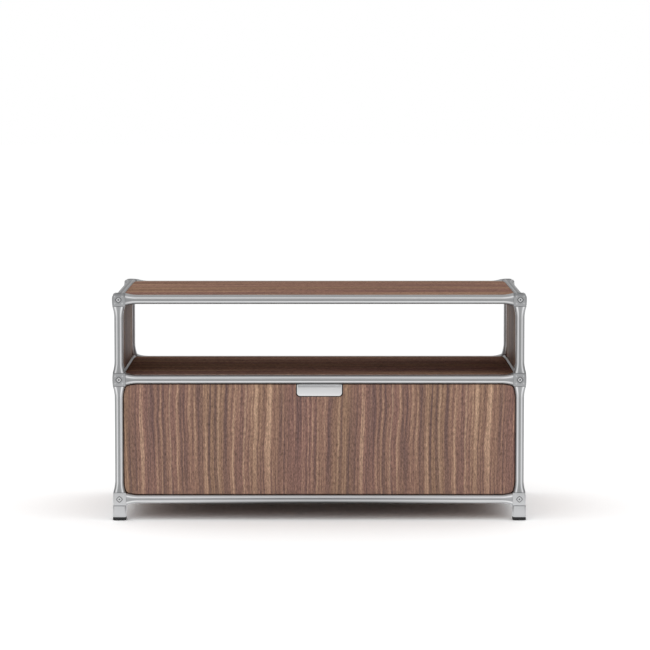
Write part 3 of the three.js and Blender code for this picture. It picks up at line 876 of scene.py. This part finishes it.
def bay_outline(across, up, gap=panel_gap):
    """Counter-clockwise points round a bay's middle, a gap away from the rods round it."""
    radius, tip = flare_radius - gap, seat_reach + gap
    left_at_tip = flare_start - tip
    arc = []
    for i in range(arc_steps + 1):
        left = left_at_tip * i / arc_steps
        arc.append((flare_start - left, rod_half + flare_radius - math.sqrt(radius**2 - left**2)))
    arc[0] = (arc[0][0], rod_half + gap)
    deepest = max(tip, arc[-1][1])
    arc[-1] = (deepest, deepest)
    points = []
    for sign_x, sign_y in ((-1, -1), (1, -1), (1, 1), (-1, 1)):
        corner = arc + [(depth, reach) for reach, depth in reversed(arc[:-1])]
        if sign_x * sign_y > 0:
            corner = corner[::-1]
        points += [(sign_x * (across / 2 - x), sign_y * (up / 2 - y)) for x, y in corner]
    return points


board_thickness, sheet_thickness, panel_edge = 0.016, 0.008, 0.0005
panel_names = {"bottom": "bottom_panel", "middle": "middle_shelf", "top": "top_panel"}
for level, z in levels.items():
    node = panel_names[level]
    outline = bay_outline(bay_width, bay_depth)
    panel = board(node, outline, "z", z + rod_half - board_thickness, z + rod_half, panel_edge)
    dress(node, panel, "walnut", walnut_flat)


# %% The upright panels
def upright_panel(node, outline, axis, middle, finish):
    """A thin panel drawn round its bay's middle, in the middle of the rods' thickness."""
    panel = board(node, outline, axis, -sheet_thickness / 2, sheet_thickness / 2, panel_edge)
    panel.transform(Matrix.Translation(middle))
    dress(node, panel, "walnut", finish)


for tier, (height, middle) in tiers.items():
    for side, sign in sides.items():
        place = (sign * half_width, 0, middle)
        upright_panel(f"side_panel_{tier}_{side}", bay_outline(bay_depth, height), "x", place, walnut_side)
lower_middle = tiers["lower"][1]
back_outline = bay_outline(bay_width, lower_bay)
upright_panel("back_panel", back_outline, "y", (0, half_depth, lower_middle), walnut_front)
print("points in a panel's outline:", len(back_outline))

# %% [markdown]
# ## The flap
# The flap lies between the rods with an even dark gap round it, so it follows their flares. Its arrises are
# eased, a bay for the grip is let into its upper edge, and two notches behind leave room for the hinges.
# The board comes from the same helper as the panels, and the bay and notches are cut in with booleans.

# %% The flap's board
flap_low, flap_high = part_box("flap_panel")
grip_low, grip_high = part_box("flap_grip")
flap_edge, grip_corner, overrun, square_corners = 0.0016, 0.008, 0.002, [0, 0, 0, 0]
notch_half, notch_height, notch_skin, notch_middle = 0.0073, 0.0555, 0.003, 0.4


def slab(outline, axis, low, high):
    """A sharp-edged body for cutting."""
    return loft([[to_axis(axis, u, v, w) for u, v in outline] for w in (low, high)])


flap_outline = [(x, z + lower_middle) for x, z in bay_outline(bay_width, lower_bay, flap_gap)]
flap_board = board("flap", flap_outline, "y", flap_low.y, flap_high.y, flap_edge, steps=3)
left, right, top = grip_low.x - grip_gap, grip_high.x + grip_gap, flap_high.z + overrun
grip_bay = rounded_rectangle(left, grip_low.z - grip_gap, right, top, [grip_corner, grip_corner, 0, 0])
cutters = [slab(grip_bay, "y", flap_low.y - overrun, flap_high.y + overrun)]
for sign in sides.values():
    left, right = sign * notch_middle - notch_half, sign * notch_middle + notch_half
    notch = rounded_rectangle(left, flap_low.z - overrun, right, flap_low.z + notch_height, square_corners)
    cutters.append(slab(notch, "y", flap_low.y + notch_skin, flap_high.y + overrun))
flap_mesh = cut(flap_board, mesh_from("flap_cutters", *join_parts(cutters)), "flap_shape")
dress("flap_panel", flap_mesh, "walnut", walnut_front, "flap", name="flap")
print("flap faces:", len(flap_mesh.polygons))

# %% [markdown]
# ## The grip
# Fingers go in behind a bright lip at the flap's upper edge. The grip is a cast tray: a shell with a recess,
# and a mouth above the lip. Its edges are the brightest lines on it, so they get a small rounded bevel.

# %% The grip's tray
lip_height, lip_thickness, tray_wall, tray_back, tray_floor = 0.02, 0.003, 0.003, 0.0025, 0.004
tray_edge, tray_corner = 0.0011, grip_corner - clearance
inner_corner = tray_corner - tray_wall
tray_radii, recess_radii = [tray_corner, tray_corner, 0, 0], [inner_corner, inner_corner, 0, 0]
tray_outline = rounded_rectangle(grip_low.x, grip_low.z, grip_high.x, grip_high.z, tray_radii, steps=10)
tray = mesh_from("tray", *slab(tray_outline, "y", grip_low.y, grip_high.y))
left, right, top = grip_low.x + tray_wall, grip_high.x - tray_wall, grip_high.z + overrun
recess_outline = rounded_rectangle(left, grip_low.z + tray_floor, right, top, recess_radii)
mouth_outline = rounded_rectangle(left, grip_low.z + lip_height, right, top, square_corners)
recess = mesh_from("recess", *slab(recess_outline, "y", grip_low.y + lip_thickness, grip_high.y - tray_back))
mouth = mesh_from("mouth", *slab(mouth_outline, "y", grip_low.y - overrun, grip_low.y + lip_thickness + clearance))
tray = cut(cut(tray, recess, "tray_recess"), mouth, "tray_mouth")


def eased(mesh, width):
    """A copy whose sharp edges have a rounded bevel."""
    piece = shown("eased", mesh)
    modifier = piece.modifiers.new("edges", "BEVEL")
    modifier.width, modifier.segments, modifier.limit_method = width, 3, "ANGLE"
    modifier.angle_limit = math.radians(50)
    return applied(piece)


tray = eased(tray, tray_edge)
# The grip's painted highlight grows towards its lower edge.
paint_sheen_by_height(tray, *grip_sheen)
dress("flap_grip", tray, "frame_aluminium", aluminium, "flap", name="grip")
print("grip faces:", len(tray.polygons))

# %% [markdown]
# ## Hinges, stays and catch
# The flat steel parts have their real shapes in the CAD already, so they keep their meshes and only get
# their finish. Their pin heads and the screws are small and many, so Geometry Nodes set them out.

# %% Finishes of the kept parts
kept_finishes = {"hardware_steel": steel, "catch_plastic": plastic}
for subpart in frame["record"]["subparts"]:
    finish = kept_finishes.get(subpart["material_slot"])
    if finish:
        kept = frame["nodes"][subpart["node"]]
        kept.data.materials.clear()
        kept.data.materials.append(finish)
        print("kept:", subpart["node"])


# %% Heads of screws and pins
def screw_head(radius, height, slot_width, slot_depth):
    """A low domed head with a cross recess."""
    profile = [(radius, -height), (radius, 0.3 * height), (0.86 * radius, 0.75 * height), (0.45 * radius, height)]
    head = mesh_from("head", *turned(profile, steps=16))
    arm, half = radius * 0.62, slot_width / 2
    cross = [(arm, -half), (arm, half), (half, half), (half, arm), (-half, arm), (-half, half)]
    cross += [(-x, -y) for x, y in cross]
    top = height + slot_depth
    return cut(head, mesh_from("cross", *slab(cross, "z", height - slot_depth, top)), "screw_head")


# %% Heads set out by Geometry Nodes
head_rule, tree, wires = new_rule(
    "head_rule", {"Head": "NodeSocketObject", "Head size": SIZE, "Finish": "NodeSocketMaterial"}
)
points_in, head_in, head_size, finish_in = wires
head = tree.node("GeometryNodeObjectInfo", {}, {"Object": head_in}, output="Geometry")
outward = stored(tree, "outward", "FLOAT_VECTOR")
aim = tree.node("FunctionNodeAlignRotationToVector", {"axis": "Z"}, {"Vector": outward})
sockets = {"Points": points_in, "Instance": head, "Rotation": aim, "Scale": head_size}
close_rule(tree, tree.node("GeometryNodeInstanceOnPoints", {}, sockets), finish_in)
print("head rule:", len(head_rule.nodes), "nodes")


def set_out_heads(name, head_mesh, body, spots):
    """One piece with a head at each spot, given as its place and the direction in which it faces."""
    points = bpy.data.meshes.new(name)
    points.from_pydata([place for place, _ in spots], [], [])
    store(points, "outward", [way for _, way in spots])
    head = shown("head", head_mesh)
    values = {"Head": head, "Head size": 1.0, "Finish": steel}
    mesh = apply_rule(points, head_rule, values, name)
    bpy.data.objects.remove(head)
    settle(shown(name, smooth(mesh), steel), "hardware_steel", body)
    print(name, len(mesh.polygons), "faces")


# %% The screws and pins
screw = screw_head(radius=0.0032, height=0.0011, slot_width=0.001, slot_depth=0.0009)
small_screw = screw_head(radius=0.0021, height=0.0005, slot_width=0.0007, slot_depth=0.0007)
rivet_profile = [(0.0046, 0), (0.0046, 0.0008), (0.0041, 0.0014), (0.0028, 0.0018), (0.001, 0.002)]
rivet = mesh_from("rivet", *turned(rivet_profile, steps=24))
flange_top, strap_face, lug_face, strike_face = 0.0608, -0.2157, 0.3087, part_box("strike_plate")[1].y
bracket_x, bracket_rows, strap_rows = 0.4135, (-0.172, -0.153), (0.126, 0.16, 0.194)
catch_x, catch_y, strike_x, strike_z = 0.0185, -0.1982, 0.0165, 0.2988
bracket_screws = [((s * bracket_x, y, flange_top), (0, 0, 1)) for s in sides.values() for y in bracket_rows]
catch_screws = [((s * catch_x, catch_y, lug_face), (0, 0, -1)) for s in sides.values()]
strap_screws = [((s * notch_middle, strap_face, z), (0, 1, 0)) for s in sides.values() for z in strap_rows]
strike_screws = [((s * strike_x, strike_face, strike_z), (0, 1, 0)) for s in sides.values()]
set_out_heads("screws_frame", screw, "frame", bracket_screws + catch_screws)
set_out_heads("screws_flap", screw, "flap", strap_screws)
set_out_heads("screws_strike_plate", small_screw, "flap", strike_screws)
arm_face, link_face = 0.4051, 0.4084
arm_pivot, arm_end, flap_stud = (-0.1665, 0.1142), (-0.1495, 0.2342), (-0.2095, 0.2192)
frame_pins = [((s * arm_face, *arm_pivot), (s, 0, 0)) for s in sides.values()]
flap_pins = [((s * link_face, *flap_stud), (s, 0, 0)) for s in sides.values()]
set_out_heads("pin_heads_frame", rivet, "frame", frame_pins)
set_out_heads("pin_heads_flap", rivet, "flap", flap_pins)
for side, s in sides.items():
    set_out_heads(f"pin_head_{side}_arm", rivet, f"{side}_arm", [((s * link_face, *arm_end), (s, 0, 0))])

# %% [markdown]
# ## Floor, light and background
# The rack stands on a white floor in a white room, with one soft shadow under it. A brighter lamp would
# whiten the floor but bleach the wood as well. So the floor and the sky are whiter to the camera than they
# are to light, and the shadow stays, because it multiplies. Metal shows little but what it mirrors. For its
# rays the floor glows in plain tones, with a painted shadow under the rack, bright in front of it and dimmer
# far away, and the room has three soft panels. Neither lights anything else.

# %% Which rays look
def ray_kinds(tree):
    """Whether a ray comes from the camera, straight or through glass, and whether it comes from a gloss."""
    kinds = ("Camera", "Transmission", "Glossy")
    camera, clear, glossy = (tree.node("ShaderNodeLightPath", output=f"Is {kind} Ray") for kind in kinds)
    return (camera + clear).clamped(), glossy


# %% The floor
floor_size, floor_white, floor_albedo = 60, 1.27, 0.8
# To metal's rays, under_tone is a painted shadow under the rack.
shade_end, bright_start, bright_end = 0.24, 0.44, 3.5
under_tone, near_tone, far_tone = 0.1, 1, 0.72


def plain_floor(value):
    return tree.node("ShaderNodeBsdfDiffuse", {}, {"Color": (value, value, value, 1)})


floor_finish, tree = finish_tree("floor")
watched, glossy = ray_kinds(tree)
from_rack = tree.vector("LENGTH", object_place(tree), output="Value")
past_shade = ((from_rack - shade_end) / (bright_start - shade_end)).clamped()
near_rack = past_shade * ((bright_end - from_rack) / (bright_end - bright_start)).clamped()
glow = near_rack * (near_tone - far_tone) + past_shade * (far_tone - under_tone) + under_tone
mirrored_white = tree.node("ShaderNodeCombineXYZ", {}, {0: glow, 1: glow, 2: glow})
in_metal = tree.node("ShaderNodeEmission", {}, {"Color": mirrored_white})
unseen = tree.node("ShaderNodeMixShader", {}, {0: glossy, 1: plain_floor(floor_albedo), 2: in_metal})
surface = tree.node("ShaderNodeMixShader", {}, {0: watched, 1: unseen, 2: plain_floor(floor_white)})
tree.node("ShaderNodeOutputMaterial", {}, {"Surface": surface})
floor_finish.cycles.emission_sampling = "NONE"
half = floor_size / 2
corners = [(-half, -half, 0), (half, -half, 0), (half, half, 0), (-half, half, 0)]
floor_mesh = bpy.data.meshes.new("floor")
floor_mesh.from_pydata(corners, [], [(0, 1, 2, 3)])
floor = shown("floor", floor_mesh, floor_finish)
print("floor:", floor_size, "m wide")

# %% The room's light
room_light, room_white, room_low, room_high = 0.8, 1.0, 0.34, 0.5
# Each panel: where it is, how much it adds, the cosine at which it starts, and how softly it ends.
panels = {
    "above": ((0, -0.75, 0.66), 0.1, 0.85, 0.12),
    "left": ((-0.6, -0.8, 0.1), 0.2, 0.85, 0.12),
    "behind camera": ((0, -1, 0), 0.34, 0.4, 0.5),
}
world = bpy.data.worlds.new("room")
bpy.context.scene.world = world
world.use_nodes = True
world.cycles.sampling_method = "NONE"
world.node_tree.nodes.clear()
tree = Tree(world.node_tree)
watched, glossy = ray_kinds(tree)
direction = tree.node("ShaderNodeTexCoord")
upwards = tree.node("ShaderNodeSeparateXYZ", {}, {0: direction}, output=2).clamped()
in_metal = room_low + (room_high - room_low) * upwards
for aim, glow, rim, blur in panels.values():
    facing = tree.vector("DOT_PRODUCT", direction, aim, output="Value")
    in_metal = in_metal + ((facing - rim) / blur).clamped() * glow
strength = room_light + watched * (room_white - room_light) + glossy * (in_metal - room_light)
sky = tree.node("ShaderNodeBackground", {}, {"Color": (1, 1, 1, 1), "Strength": strength})
tree.node("ShaderNodeOutputWorld", {}, {"Surface": sky})


def soft_lamp(name, place, target, size, watts):
    """A square lamp that faces a point."""
    data = bpy.data.lights.new(name, "AREA")
    data.shape, data.size, data.energy = "SQUARE", size, watts
    lamp = bpy.data.objects.new(name, data)
    lamp.location = place
    lamp.rotation_euler = (Vector(target) - Vector(place)).to_track_quat("-Z", "Y").to_euler()
    lamp.visible_glossy = False
    bpy.context.scene.collection.objects.link(lamp)


soft_lamp("overhead", (0, 0.3, 3.2), (0, 0, 0.2), size=3.0, watts=12)
soft_lamp("front", (-1.2, -4.5, 2.2), (0, 0, 0.3), size=2.5, watts=20)
bpy.context.scene.view_settings.view_transform = "Standard"
